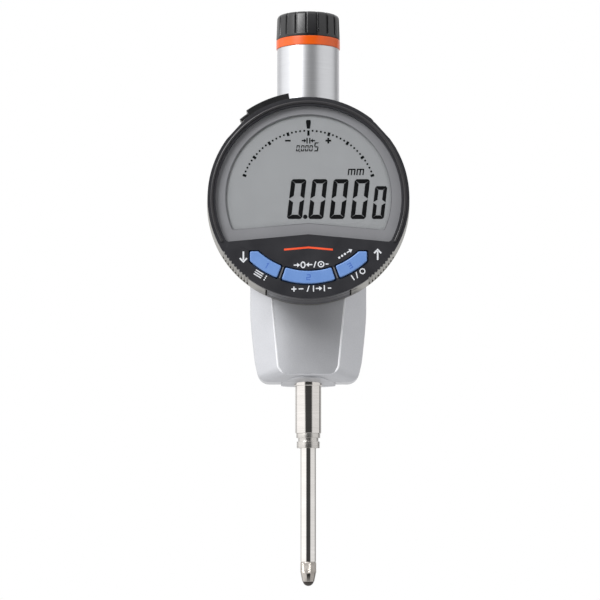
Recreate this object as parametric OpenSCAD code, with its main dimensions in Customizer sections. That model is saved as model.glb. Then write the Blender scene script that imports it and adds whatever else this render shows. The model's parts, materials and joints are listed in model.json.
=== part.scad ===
// Electronic dial indicator: a spring-loaded spindle in an 8 mm stem, a die-cast body with a
// guard tube and cap above it, and a display head that swivels on the body's front.
//
// Frame: +Z runs up the spindle, the display faces -Y, and the origin is on the spindle's axis
// in the middle of the stem's clamping length. All dimensions are in millimetres.

/* [Stem and spindle] */
// Diameter of the stem's clamping length
stem_d = 8; // [8:0.5:9.5]
// Clamping length of the stem
stem_len = 14.4; // [12:0.2:16]
// Diameter of the spindle
spindle_d = 4.8; // [4.5:0.1:5]
// Measuring travel of the spindle
travel = 25.4; // [10:0.1:25.4]
// Bare spindle between the stem's nose and the contact point
spindle_out = 34.2; // [30:0.2:38]
// Length of the contact point, tip included
contact_len = 7.3; // [6:0.1:9]

/* [Body] */
// Height of the display's centre above the origin
dial_z = 61.4; // [61:0.1:62]
// Radius of the round body behind the display
drum_r = 27; // [27:0.1:27.4]
// Height of the body's bottom above the origin
body_bottom = 8.1; // [7.8:0.05:8.4]
// Half the width of the body below the display
skirt_half = 17.55; // [17:0.05:18]
// Thickness of the back plate
plate_t = 2; // [1.8:0.1:2.4]
// Diameter of the hole in the back plate's lug
lug_hole_d = 6.5; // [6:0.1:7]
// Thickness of the lug
lug_t = 5; // [4.5:0.1:6]

/* [Guard tube and cap] */
// Outer diameter of the guard tube
tube_d = 19; // [18.8:0.1:19]
// Height of the guard tube's top above the origin
tube_top = 110.3; // [108:0.1:111]
// Height of the accent ring
accent_h = 2.8; // [2.4:0.1:3]
// Height of the cap above the accent ring
cap_h = 7.6; // [7.1:0.1:8]
// Number of grip grooves round the cap
cap_grooves = 18; // [12:1:24]

/* [Display head] */
// Depth of the head's rear face in front of the spindle's axis
head_rear = 10; // [10:0.1:10.4]
// Depth of the head's front face in front of the spindle's axis
head_front = 25.5; // [25.5:0.1:27]
// Radius of the head at its rear edge
head_r_rear = 30.5; // [30.4:0.05:30.6]
// Radius of the head at its front edge
head_r_front = 29.85; // [29.8:0.05:30]
// Radius of the round part of the lens
lens_r = 27.5; // [27:0.1:27.6]
// Radius of the round part of the visible display
lcd_r = 24.5; // [24:0.1:24.8]
// Travel of a button
press = 0.5; // [0.3:0.1:0.6]

/* [Hidden] */
$fn = 72;

eps = 0.01;             // overlap that joins or clears faces in a boolean
fit = 0.05;             // radial clearance of a running fit
run_fit = 0.03;         // radial clearance of the spindle in its bushings

// Stem and spindle, from the origin
stem_top = stem_len / 2;
stem_end = -stem_len / 2;
nose_band = 1.4;        // first band of the stem's nose
nose_groove = 1.1;      // groove between the band and the collar
nose_collar = 1.95;     // collar at the end of the nose
nose_end = stem_end - nose_band - nose_groove - nose_collar;
spindle_end = nose_end - spindle_out;
spindle_top = 88.6;
contact_thread_d = 2.5;
contact_thread_len = 5;
ball_r = 1.7;

// Body, seen from the front and in depth; depths are along -Y
drum_front = head_rear - 0.6;
drum_back = -8.6;
wall = 1.8;
cavity_front = drum_front - wall;
cavity_r = drum_r - wall;
pocket_half = 8.5;      // half width of the pocket below the drum
pocket_bottom = 12.5;
pocket_back = -6.6;
panel_depth = drum_front - 0.2;
facet_depth = 4.5;      // depth where the skirt's facets meet its sides
panel_fillet = 0.9;
side_fillet = 0.8;
waist_z = 29;           // height where the skirt starts to narrow
skirt_draw = 2.2;       // how far each side has come in at the bottom
skirt_corner = 3.6;
panel_bottom = 10.3;    // lower edge of the flat panel on the skirt
boss_r = 8.25;
boss_bottom = stem_top;
boss_slope = 12.5;      // rise of the boss's underside towards the front, degrees
neck_r = 4.3;           // the stem's neck in the boss, and its flange above it
flange_r = 5;
flange_bottom = 9;
spigot_r = tube_d / 2 - 1.35;
spigot_top = 95;
accent_r = 9.75;
cap_r = 9.8;
groove_turn = 7.3;      // direction of the first grip groove
tube_bottom = dial_z + drum_r + 0.4;
bush_r = 4.5;
bush_bottom = 79;
bush_top = 87.5;
plate_back = drum_back - plate_t;
plate_screw_r = 22.8;   // radius of the circle of back plate screws
lug_reach = 8.6;        // from the back plate to the middle of the lug's hole
lug_r = 7;

// Measuring system inside the body
block_bottom = 14.2;
block_top = 23;
block_half = 6;
block_front = 4.9;
block_back = -4;
scale_t = 1;
scale_half = 4.5;
scale_len = 37;
board_depth = block_back - scale_t - 0.4;
board_t = 1.2;
board_half = 11;
board_low = 40;
board_high = 66;
board_screw_x = 9;
board_screw_z = [43, 63];
pin_r = 1;
pin_z = 18.5;
rail_half = 3.5;
rail_low = 13.5;
rail_high = 52;
rail_t = 1.8;
rail_screw_z = [14.9, 50];
spring_r = 3.3;
spring_wire = 0.5;
spring_turns = 13;
spring_sides = 6;
spring_steps = 10;      // rings in one turn

// Display head, depths in front of the spindle's axis
case_wall = 1.6;
case_floor = head_rear + case_wall;
panel_t = 1.6;
panel_rear = head_front - panel_t;
case_r = 26.7;          // inside radius of the case
crown_rise = 0.25;      // how far the head's crown stands above its round outline
crown_angle = 40;       // half the angle that the crown covers
flat_angle = 42;        // direction of the two flats beside the crown
flat_r = 29.68;         // distance of the flats from the display's centre
roof_peak = -10.85;     // lower edge of the lens: its height in the middle
roof_slope = 0.0925;    // and its fall towards the sides
lens_corner = 1.2;
lcd_peak = -7.9;        // lower edge of the visible display in the middle
hub_r = 9;
hub_hole_r = 6;
hub_front = case_floor + 0.4;
retainer_r = 11.2;
retainer_t = 0.9;
washer_t = 0.3;
lens_rear = head_front - 1.5;
mask_rear = lens_rear - 0.6;
lcd_rear = mask_rear - 1.6;
holder_rear = lcd_rear - 1.4;
mat_front = holder_rear + 1.3;
pcb_rear = holder_rear - 1;
stop_r = 18;            // radius of the stop pin's circle
stop_pin_r = 0.8;
turn_low = -240;        // swivel range in degrees, anticlockwise positive from the front
turn_high = 90;
battery_r = 5.8;
battery_t = 5.4;
battery_y = -19.3;      // middle of the cell below the display's centre
battery_rear = 12;
lid_angle = 24.2;       // half the angle that the battery cover spans
lid_gap = 0.9;          // and the gap at each of its ends, in degrees
lid_in = 27.5;          // radius of the cover's inside
lid_grooves = [14.2, 20.4];
lid_groove_w = 0.5;
port_angle = 112.4;     // middle of the data port
port_span = 12;         // half the angle that its cap covers
port_half = 5.6;        // half the width of the port
port_low = 13.4;
port_high = 16.8;
port_seat_r = 29.9;     // seat of the connector cap in the head's side
port_cap_r = 32.9;      // outer radius of the connector cap
lip_in = 28.3;          // raised lip round the top of the lens
lip_out = 28.95;
lip_low = -13.2;        // height where the lip ends
button_in = 21.8;       // inner and outer radius of the row of buttons
button_out = 25.55;
button_split = 19.7;    // direction of the ribs between the buttons, from straight down
button_side = 17.25;    // the outer buttons end at this distance from the middle
button_top = 16;        // and at this distance below the display's centre
rib_half = 0.16;        // half the width of a rib
rib_gap = 0.6;          // from a rib to the buttons beside it
button_gap = 0.4;       // slit round a button
button_proud = 0.6;
flange_t = 0.6;
grip_angles = [213 : 2.2 : 233];
grip_side = 0.8;        // side of the square cutter that makes a grip notch
grip_taper = atan((head_r_rear - head_r_front) / (head_front - head_rear));

// Maps a drawing of the display, seen from the front with its depth along +Z, onto the object.
module dial_frame() translate([0, 0, dial_z]) rotate([90, 0, 0]) children();

// Maps a drawing seen from the front, with its depth along +Z, without moving its origin.
module front_frame() rotate([90, 0, 0]) children();

// A flat shape between two depths
module slab(low, high) translate([0, 0, low]) linear_extrude(high - low) children();

module disc(r, low, high) translate([0, 0, low]) cylinder(r = r, h = high - low);

module ring(r_out, r_in, low, high) difference() {
    disc(r_out, low, high);
    disc(r_in, low - 1, high + 1);
}

module block(x0, x1, y0, y1, z0, z1) translate([x0, y0, z0]) cube([x1 - x0, y1 - y0, z1 - z0]);

// A wedge between two angles, seen along Z
module wedge(r, a0, a1, low, high) slab(low, high)
    polygon([[0, 0], for (i = [0 : 4]) r * [cos(a0 + (a1 - a0) * i / 4), sin(a0 + (a1 - a0) * i / 4)]]);

// A machine screw that stands on its thread, head up, with its head's underside at z = 0
module screw(head_r, head_h, thread_r, thread_len, slot = 0.5) difference() {
    union() {
        disc(head_r, 0, head_h);
        disc(thread_r, -thread_len, eps);
    }
    block(-head_r * 0.6, head_r * 0.6, -slot / 2, slot / 2, head_h * 0.45, head_h + 1);
    block(-slot / 2, slot / 2, -head_r * 0.6, head_r * 0.6, head_h * 0.45, head_h + 1);
}

// ---- Body ----

// Half the width of the skirt at a height: straight down to waist_z, then drawn in more and more
function skirt_x(z) = skirt_half - skirt_draw * pow(max(0, waist_z - z) / (waist_z - body_bottom), 1.35);

// Rounds whose hull is the body below the display, drawn in by `inset`
module outline_rounds(inset) for (s = [-1, 1]) {
    translate([s * (skirt_x(body_bottom) - skirt_corner + 0.2), body_bottom + skirt_corner])
        circle(skirt_corner - inset, $fn = 32);
    for (z = [14 : 3 : waist_z]) translate([s * (skirt_x(z) - 0.5), z]) circle(0.5 - inset, $fn = 16);
    translate([s * (skirt_half - 0.5), 47]) circle(0.5 - inset, $fn = 16);
}

// Rounds whose hull is the flat panel on the front of the skirt, drawn in by `inset`
module panel_rounds(inset) for (s = [-1, 1]) {
    translate([s * 6.55, panel_bottom + 2.9]) circle(2.9 - inset, $fn = 32);
    for (z = [36, 45]) translate([s * 11, z]) circle(0.6 - inset, $fn = 16);
}

// The skirt, with a fillet round its panel and another where its facets meet its sides
module skirt() front_frame() hull() {
    for (t = [0 : 12 : 48]) {
        level = panel_depth - panel_fillet * (1 - cos(t));
        slab(level - 0.02, level) panel_rounds(panel_fillet * (0.35 - sin(t)));
    }
    for (t = [30, 60]) {
        level = facet_depth - side_fillet * (1 - sin(t));
        slab(level - 0.02, level) outline_rounds(side_fillet * (1 - cos(t)));
    }
    slab(drum_back, facet_depth - side_fillet) outline_rounds(0);
}

// The round boss that carries the stem; its underside rises towards the front
module stem_boss() difference() {
    disc(boss_r, boss_bottom, 22);
    rotate([-boss_slope, 0, 0]) block(-20, 20, -20, 0, boss_bottom - 10, boss_bottom);
}

module drum() dial_frame() disc(drum_r, drum_back, drum_front);

module screw_posts() dial_frame() for (a = [45 : 90 : 315]) rotate(a)
    translate([plate_screw_r, 0, 0]) disc(2.2, drum_back, cavity_front + eps);

module plate_screw_holes(r, low, high) dial_frame() for (a = [45 : 90 : 315]) rotate(a)
    translate([plate_screw_r, 0, 0]) disc(r, low, high);

module encoder_posts(r, low, high) front_frame() for (x = [-1, 1] * board_screw_x, z = board_screw_z)
    translate([x, z, 0]) disc(r, low, high);

module rail_holes(r, low, high) front_frame() for (z = rail_screw_z)
    translate([0, z, 0]) disc(r, low, high);

// The groove in the body's front that the stop pin runs in
module stop_groove() dial_frame() {
    pin_half = asin(stop_pin_r / stop_r) + 1;
    difference() {
        ring(stop_r + stop_pin_r + 0.2, stop_r - stop_pin_r - 0.2, drum_front - 1.1, drum_front + 1);
        wedge(30, 270 + turn_high + pin_half, 270 + 360 + turn_low - pin_half, 0, 20);
    }
}

module main_housing() color("silver") difference() {
    union() {
        difference() {
            union() {
                skirt();
                stem_boss();
                drum();
            }
            dial_frame() disc(cavity_r, drum_back - 1, cavity_front);
            front_frame() slab(pocket_back, cavity_front)
                translate([-pocket_half, pocket_bottom]) square([2 * pocket_half, 40]);
        }
        disc(7.2, bush_bottom + 1, tube_bottom);
        difference() {
            disc(tube_d / 2 - 0.4, tube_bottom - 3, tube_bottom);
            block(-12, 12, -drum_back, 12, tube_bottom - 4, tube_bottom - 0.2);
        }
        disc(spigot_r, tube_bottom - 1, spigot_top);
        intersection() {
            screw_posts();
            drum();
        }
        encoder_posts(1.9, board_depth, cavity_front + eps);
        dial_frame() disc(hub_r, cavity_front, hub_front);
    }
    disc(bush_r, bush_bottom, spigot_top + 1);
    disc(neck_r, boss_bottom - 5, flange_bottom + eps);
    disc(flange_r, flange_bottom, pocket_bottom + 1);
    dial_frame() disc(hub_hole_r, cavity_front - 1, hub_front + 1);
    plate_screw_holes(0.9, drum_back - 1, 0);
    encoder_posts(0.7, board_depth - 1, 0);
    rail_holes(0.6, cavity_front - 0.5, drum_front - 0.7);
    retainer_holes(0.7, hub_front - 2, hub_front + 1);
    stop_groove();
    dial_frame() ring(26.35, 25.75, drum_back - 1, drum_back + 0.4);
}

module retainer_holes(r, low, high) dial_frame() for (a = [90 : 120 : 330]) rotate(a)
    translate([7.5, 0, 0]) disc(r, low, high);

module back_seal() color("black") dial_frame() ring(26.3, 25.8, drum_back, drum_back + 0.38);

module lug() {
    hole_y = -plate_back + lug_reach;
    difference() {
        union() {
            translate([0, hole_y, dial_z]) rotate([0, 90, 0]) disc(lug_r, -lug_t / 2, lug_t / 2);
            block(-lug_t / 2, lug_t / 2, -plate_back - 0.5, hole_y, dial_z - lug_r, dial_z + lug_r);
        }
        translate([0, hole_y, dial_z]) rotate([0, 90, 0]) disc(lug_hole_d / 2, -lug_t, lug_t);
    }
}

module back_plate() color("dimgray") difference() {
    union() {
        dial_frame() disc(drum_r, plate_back + 0.5, drum_back);
        dial_frame() translate([0, 0, plate_back]) cylinder(r1 = drum_r - 0.5, r2 = drum_r, h = 0.5);
        lug();
    }
    plate_screw_holes(1.2, plate_back - 1, drum_back + 1);
    plate_screw_holes(2.1, plate_back - 1, plate_back + 1);
}

module back_screws() color("gray") dial_frame() for (a = [45 : 90 : 315]) rotate(a)
    translate([plate_screw_r, 0, plate_back + 1]) rotate([180, 0, 0]) screw(1.9, 0.9, 0.9, 6.5);

module stem() color("gainsboro") difference() {
    union() {
        disc(stem_d / 2, stem_end, stem_top + eps);
        disc(neck_r, stem_top, flange_bottom + eps);
        disc(flange_r, flange_bottom, pocket_bottom);
    }
    disc(3.1, stem_end - 1, pocket_bottom + 1);
}

module lower_bushing() color("lightgray") difference() {
    union() {
        disc(3.1, stem_end, 4);
        disc(3.65, stem_end - nose_band, stem_end);
        disc(3.1, nose_end + nose_collar, stem_end - nose_band + eps);
        disc(3.5, nose_end, nose_end + nose_collar);
    }
    disc(spindle_d / 2 + run_fit, nose_end - 1, 5);
    disc(2.9, nose_end - 1, nose_end + 1);
}

module dust_seal() color("black") ring(2.88, spindle_d / 2 + fit, nose_end + 0.1, nose_end + 0.95);

module upper_bushing() color("goldenrod") difference() {
    union() {
        disc(bush_r, bush_bottom + 1, bush_top);
        disc(5.6, bush_bottom, bush_bottom + 1);
    }
    disc(spindle_d / 2 + run_fit, bush_bottom - 1, bush_top + 1);
}

module guard_tube() color("silver") ring(tube_d / 2, spigot_r, tube_bottom, tube_top);

module bump_stop() color("black") ring(4.8, spindle_d / 2 + 0.3, pocket_bottom, block_bottom - 0.1);

// A round wire wound round the spindle; its rings of points follow a helix
module return_spring() color("lightgray") {
    low = block_top + spring_wire / 2 + 0.05;
    high = bush_bottom - spring_wire / 2 - 0.05;
    rings = spring_turns * spring_steps;
    points = [for (i = [0 : rings], k = [0 : spring_sides - 1])
        let (turn = 360 * i / spring_steps, round = 360 * k / spring_sides,
             r = spring_r + spring_wire / 2 * cos(round))
        [r * cos(turn), r * sin(turn), low + (high - low) * i / rings + spring_wire / 2 * sin(round)]];
    sides = [for (i = [0 : rings - 1], k = [0 : spring_sides - 1])
        let (a = i * spring_sides, b = a + spring_sides, n = (k + 1) % spring_sides)
        [a + k, a + n, b + n, b + k]];
    first = [for (k = [spring_sides - 1 : -1 : 0]) k];
    last = [for (k = [0 : spring_sides - 1]) rings * spring_sides + k];
    polyhedron(points, concat([first], sides, [last]));
}

module guide_rail() color("lightgray") difference() {
    front_frame() slab(cavity_front - rail_t, cavity_front)
        translate([-rail_half, rail_low]) square([2 * rail_half, rail_high - rail_low]);
    front_frame() slab(0, 20) translate([-pin_r - fit, pin_z - pin_r - 0.6])
        square([2 * (pin_r + fit), travel + 2 * pin_r + 1.2]);
    rail_holes(0.8, 0, 20);
}

module guide_screws() color("gray") front_frame() for (z = rail_screw_z)
    translate([0, z, cavity_front - rail_t]) rotate([180, 0, 0]) screw(1.2, 0.6, 0.6, rail_t + 0.4, 0.3);

module encoder_board() color("darkgreen") difference() {
    front_frame() slab(board_depth - board_t, board_depth)
        translate([-board_half, board_low]) square([2 * board_half, board_high - board_low]);
    encoder_posts(0.8, -20, 0);
}

module encoder_chips() color("black") front_frame() {
    rear = board_depth - board_t;
    slab(rear - 1, rear) translate([-4, 49]) square([8, 8]);
    for (x = [-7.5, -5.5, 4.5, 6.5]) slab(rear - 0.6, rear) translate([x, 59.5]) square([1, 1.8]);
    slab(rear - 0.9, rear) translate([5.5, 46]) square([2.4, 3.4]);
}

module encoder_screws() color("gray") front_frame() for (x = [-1, 1] * board_screw_x, z = board_screw_z)
    translate([x, z, board_depth - board_t]) rotate([180, 0, 0]) screw(1.4, 0.8, 0.7, 4, 0.3);

// Flat lead from the encoder board to the hole in the swivel's hub
module flex_lead() color("orange") {
    bend = -cavity_front + 0.2;
    block(6.6, 6.8, bend + 0.2, -board_depth, 53, 59);
    block(4.4, 6.8, bend, bend + 0.2, 56, dial_z - 0.4);
    block(4.4, 4.6, -hub_front - 2, bend + 0.2, dial_z - 3.4, dial_z - 0.4);
}

module swivel_seal() color("black") dial_frame() ring(10.6, 9.9, drum_front, head_rear - 0.02);

module wave_washer() color("lightgray") dial_frame()
    ring(10.9, hub_r + 0.1, case_floor + 0.05, case_floor + washer_t);

module swivel_retainer() color("gray") difference() {
    dial_frame() ring(retainer_r, hub_hole_r, hub_front, hub_front + retainer_t);
    retainer_holes(0.75, 0, 30);
}

module retainer_screws() color("gray") dial_frame() for (a = [90 : 120 : 330]) rotate(a)
    translate([7.5, 0, hub_front + retainer_t]) screw(1.3, 0.7, 0.7, retainer_t + 1.8, 0.3);

// ---- Accent ring and cap ----

module accent_ring() color("orangered") difference() {
    union() {
        disc(accent_r, tube_top + 0.15, tube_top + accent_h - 0.15);
        translate([0, 0, tube_top]) cylinder(r1 = accent_r - 0.15, r2 = accent_r, h = 0.15);
        translate([0, 0, tube_top + accent_h - 0.15]) cylinder(r1 = accent_r, r2 = accent_r - 0.1, h = 0.15);
    }
    disc(spigot_r + fit, tube_top - 1, tube_top + accent_h + 1);
}

module cap() color("dimgray") {
    bottom = tube_top + accent_h;
    top = bottom + cap_h;
    difference() {
        union() {
            translate([0, 0, bottom]) cylinder(r1 = cap_r, r2 = cap_r - 0.25, h = cap_h - 0.6);
            translate([0, 0, top - 0.6]) cylinder(r1 = cap_r - 0.25, r2 = cap_r - 0.85, h = 0.6);
            disc(spigot_r - fit, tube_top - 4.9, bottom + eps);
        }
        disc(6.2, tube_top - 6, top - 1.5);
        for (a = [0 : 360 / cap_grooves : 359]) rotate(a + groove_turn)
            translate([cap_r, 0, bottom + 0.9]) cylinder(r = 0.55, h = cap_h, $fn = 24);
    }
}

// ---- Spindle ----

module spindle() color("gainsboro") difference() {
    disc(spindle_d / 2, spindle_end, spindle_top);
    disc(contact_thread_d / 2, spindle_end - 1, spindle_end + contact_thread_len);
    disc(1.25, spindle_top - 4, spindle_top + 1);
}

module contact_shank() color("lightgray") {
    tip = spindle_end - contact_len;
    difference() {
        union() {
            disc(contact_thread_d / 2, spindle_end - eps, spindle_end + contact_thread_len - 0.5);
            disc(2.43, spindle_end - 3.6, spindle_end);
            translate([0, 0, tip + 1.3]) cylinder(r1 = 1.74, r2 = 2.34, h = contact_len - 3.6 - 1.3 + eps);
        }
        translate([0, 0, tip + ball_r]) sphere(ball_r);
    }
}

module contact_ball() color("dimgray") translate([0, 0, spindle_end - contact_len + ball_r]) sphere(ball_r);

module carrier_block() color("silver") difference() {
    block(-block_half, block_half, -block_front, -block_back, block_bottom, block_top);
    disc(spindle_d / 2, 0, 40);
    carrier_screw_holes(0.8, -1, block_half + 1);
    translate([0, -block_front + 3, pin_z]) rotate([90, 0, 0]) cylinder(r = pin_r, h = 5);
}

module carrier_screw_holes(r, low, high) for (z = [16.2, 20.9])
    translate([0, 3.2, z]) rotate([0, 90, 0]) disc(r, low, high);

module carrier_screws() color("gray") for (z = [16.2, 20.9])
    translate([block_half, 3.2, z]) rotate([0, 90, 0]) screw(1.2, 1, 0.8, 5.5, 0.3);

module scale_strip() color("khaki") block(-scale_half, scale_half, -block_back, -block_back + scale_t,
    block_bottom + 0.8, block_bottom + 0.8 + scale_len);

module guide_pin() color("gainsboro") translate([0, -spindle_d / 2 - 0.1, pin_z]) rotate([90, 0, 0])
    cylinder(r = pin_r, h = 4.8);

module end_screw() color("gray") translate([0, 0, spindle_top]) screw(2.2, 0.9, 1.25, 3.6, 0.6);

// ---- Display head ----

// Radius of the head's tapered outside at a depth
function head_r(depth) = head_r_rear
    + (head_r_front - head_r_rear) * (depth - head_rear) / (head_front - head_rear);

// The head's outside between two depths: a cone with a slightly prouder crown and two flats
module head_body(low, high) difference() {
    union() {
        translate([0, 0, low]) cylinder(r1 = head_r(low), r2 = head_r(high), h = high - low);
        intersection() {
            translate([0, 0, low])
                cylinder(r1 = head_r(low) + crown_rise, r2 = head_r(high) + crown_rise, h = high - low);
            wedge(45, 90 - crown_angle, 90 + crown_angle, low, high);
        }
    }
    for (a = [flat_angle, 180 - flat_angle]) rotate(a) block(flat_r, 40, -8, 8, low - 1, high + 1);
}

// Lens and display outline: a circle cut off below by a shallow roof
module roof_shape(r, peak) intersection() {
    circle(r, $fn = 120);
    polygon([[-40, peak - 40 * roof_slope], [0, peak], [40, peak - 40 * roof_slope], [40, 40], [-40, 40]]);
}

module rounded(r) offset(r) offset(delta = -r) children();

module lens_outline(grow = 0) rounded(lens_corner, $fn = 32) roof_shape(lens_r + grow, roof_peak - grow);

// Rows of grip notches on the head's lower left and right; each follows the head's taper
module grips() for (a = grip_angles, s = [0, 1]) mirror([s, 0, 0]) rotate(a)
    translate([head_r_rear + 0.12, 0, head_rear]) rotate([0, -grip_taper, 0])
        rotate(45) translate([-grip_side / 2, -grip_side / 2, 1.5]) cube([grip_side, grip_side, 20]);

module port_box(half, r_in, r_out, low, high) rotate(port_angle - 90)
    slab(low, high) translate([-half, r_in]) square([2 * half, r_out - r_in]);

// The opening at the rim that the battery cover closes
module lid_zone(r_in, r_out, angle, low, high) intersection() {
    ring(r_out, r_in, low, high);
    wedge(45, 270 - angle, 270 + angle, low, high);
}

module case_posts(r, low, high) for (a = [20, 160, 214, 326]) rotate(a)
    translate([23.6, 0, 0]) disc(r, low, high);

module display_case() color("dimgray") dial_frame() difference() {
    union() {
        difference() {
            head_body(head_rear, panel_rear);
            disc(case_r, case_floor, panel_rear + 1);
        }
        intersection() {
            case_posts(1.9, head_rear + 1, pcb_rear);
            disc(case_r + 0.5, head_rear, panel_rear);
        }
        for (s = [-1, 1]) block(s * 8.4 - 0.5, s * 8.4 + 0.5, -25.3, -13.6, case_floor - eps, pcb_rear - 0.1);
        intersection() {
            port_box(port_half + 0.9, 22.4, 28, case_floor - eps, pcb_rear - 0.1);
            disc(27, case_floor - 1, pcb_rear);
        }
    }
    disc(hub_r + fit, head_rear - 1, case_floor + 1);
    port_box(port_half, 21, 40, port_low, port_high);
    intersection() {
        ring(40, port_seat_r, port_low - 2.2, port_high + 2.2);
        wedge(45, port_angle - port_span - 0.4, port_angle + port_span + 6, 0, 40);
    }
    block(-7.8, 7.8, -29, -24, battery_rear - 0.3, pcb_rear - 0.1);
    lid_zone(lid_in, 40, lid_angle + lid_gap, head_rear + 1.1, 30);
    ring(27.4, 20, panel_rear - 0.4, panel_rear + 1);
    case_posts(0.7, case_floor + 1, 30);
    translate([0, -stop_r, 0]) disc(stop_pin_r, head_rear - 1, head_rear + 1.3);
    grips();
}

module stop_pin() color("gainsboro") dial_frame() translate([0, -stop_r, 0])
    disc(stop_pin_r, drum_front - 0.9, head_rear + 1.2);

module panel_seal() color("black") dial_frame() ring(27.35, 26.75, panel_rear - 0.38, panel_rear);

// Outline of the centre button, and of the right one, which ends squarely
module button_outline(side, grow) {
    edge = (rib_half + rib_gap - grow) / button_out * 180 / PI;
    a0 = side == 0 ? 270 - button_split + edge : 270 + button_split + edge;
    a1 = side == 0 ? 270 + button_split - edge : 330;
    intersection() {
        difference() {
            circle(button_out + grow, $fn = 120);
            circle(button_in - grow, $fn = 120);
        }
        polygon([[0, 0], for (i = [0 : 4]) 40 * [cos(a0 + (a1 - a0) * i / 4), sin(a0 + (a1 - a0) * i / 4)]]);
        translate([-20, -40]) square([20 + (side == 0 ? 20 : button_side + grow), 40 - button_top + grow]);
    }
}

module button_shape(place, grow = 0) mirror([place < 0 ? 1 : 0, 0, 0]) rounded(0.45, $fn = 24)
    button_outline(abs(place), grow);

module front_panel() color("dimgray") dial_frame() {
    difference() {
        union() {
            head_body(panel_rear, head_front);
            // raised lip round the top of the lens
            intersection() {
                ring(lip_out, lip_in, head_front - eps, head_front + 0.3);
                slab(0, 40) translate([-40, lip_low]) square([80, 60]);
            }
        }
        slab(panel_rear + 0.1, head_front + 1) lens_outline(0.02);
        slab(panel_rear - 1, head_front + 1) roof_shape(lens_r - 1.1, roof_peak + 1.1);
        slab(panel_rear - 1, head_front + 1) for (p = [-1, 0, 1]) button_shape(p, button_gap);
        grips();
    }
    // ribs between the buttons
    for (s = [-1, 1]) rotate(270 + s * button_split) translate([(button_in + button_out) / 2, 0, 0])
        block(-1.7, 1.7, -rib_half, rib_half, head_front - eps, head_front + 0.15);
}

module lens() color("lightblue") dial_frame() slab(lens_rear, head_front - 0.2) lens_outline(0);

module lcd_mask() color("gray") dial_frame() slab(mask_rear, panel_rear) difference() {
    roof_shape(26.5, roof_peak - 0.3);
    rounded(0.8, $fn = 24) roof_shape(lcd_r, lcd_peak);
}

module lcd_panel() color("darkgray") dial_frame() slab(lcd_rear, mask_rear) roof_shape(25.4, roof_peak + 0.4);

module lcd_holder() color("white") dial_frame() difference() {
    slab(holder_rear, lcd_rear) roof_shape(26.3, roof_peak);
    case_posts(1.6, 0, 40);
    for (y = [-8.8, 15.8]) slab(0, 30) translate([-16.1, y - 0.1]) square([32.2, 2.2]);
}

module zebra_strips() color("pink") dial_frame() for (y = [-8.8, 15.8])
    slab(holder_rear, lcd_rear) translate([-16, y]) square([32, 2]);

module display_board() color("darkgreen") dial_frame() difference() {
    disc(26.4, pcb_rear, holder_rear);
    disc(3, 0, 40);
    case_posts(0.8, 0, 40);
}

module board_chips() color("black") dial_frame() {
    slab(pcb_rear - 1.3, pcb_rear) translate([7, -3]) square([8.5, 8.5]);
    slab(pcb_rear - 0.8, pcb_rear) translate([-15, 3]) square([5, 4]);
    for (i = [0 : 4]) slab(pcb_rear - 0.7, pcb_rear) translate([-14 + 2.4 * i, -5]) square([1.2, 2]);
    slab(pcb_rear - 1.5, pcb_rear) translate([2, 12]) square([6.5, 2.4]);
}

module board_screws() color("gray") dial_frame() for (a = [160, 20, 214, 326]) rotate(a)
    translate([23.6, 0, holder_rear]) screw(1.3, 0.8, 0.7, 4, 0.3);

module key_mat() color("darkslategray") dial_frame() {
    slab(holder_rear, mat_front) intersection() {
        difference() {
            circle(button_out + 0.8);
            circle(button_in - 0.9);
        }
        translate([-18.5, -40]) square([37, 24.4]);
        polygon([[0, 0], [-32, -34], [32, -34]]);
    }
    for (a = [-30, 0, 30]) rotate(270 + a) translate([(button_in + button_out) / 2, 0, 0])
        disc(1.5, mat_front - eps, panel_rear - flange_t - press - 0.1);
}

module battery_contacts() color("gold") dial_frame() {
    slab(case_floor, battery_rear - 0.15) translate([-3, -24]) square([6, 8]);
    slab(battery_rear + battery_t + 0.1, pcb_rear) translate([-2, -22]) square([4, 6]);
}

module data_connector() color("black") dial_frame() difference() {
    union() {
        port_box(port_half - fit, 22.6, 24, port_low + fit, port_high - fit);
        for (i = [-2 : 2]) rotate(port_angle - 90) translate([2 * i, 24 - eps, (port_low + port_high) / 2])
            rotate([-90, 0, 0]) cylinder(r = 0.35, h = 3, $fn = 24);
    }
}

module button(place) color("cornflowerblue") dial_frame() {
    slab(panel_rear - 0.1, head_front + button_proud) button_shape(place);
    slab(panel_rear - flange_t - 0.05, panel_rear - 0.05) button_shape(place, button_gap + 0.2);
}

// ---- Battery drawer and connector cap ----

module battery_cover() color("dimgray") dial_frame() difference() {
    intersection() {
        head_body(head_rear, head_front);
        lid_zone(lid_in + 0.1, 40, lid_angle, head_rear + 1.25, panel_rear);
    }
    for (d = lid_grooves) ring(40, head_r(d) - 0.3, d, d + lid_groove_w);
}

module battery_tray() color("dimgray") dial_frame() difference() {
    union() {
        block(-7.4, 7.4, -24.6, -13.8, battery_rear + 0.1, battery_rear + 4.4);
        intersection() {
            block(-7.4, 7.4, -29, -24.5, battery_rear + 0.1, battery_rear + 5.3);
            disc(lid_in + 0.1, 0, 40);
        }
    }
    translate([0, battery_y, 0]) disc(battery_r + 0.1, 0, 40);
}

module battery_cell() color("silver") dial_frame() translate([0, battery_y, 0]) {
    disc(battery_r, battery_rear, battery_rear + battery_t - 0.6);
    disc(battery_r - 0.9, battery_rear + battery_t - 0.6 - eps, battery_rear + battery_t);
}

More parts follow.
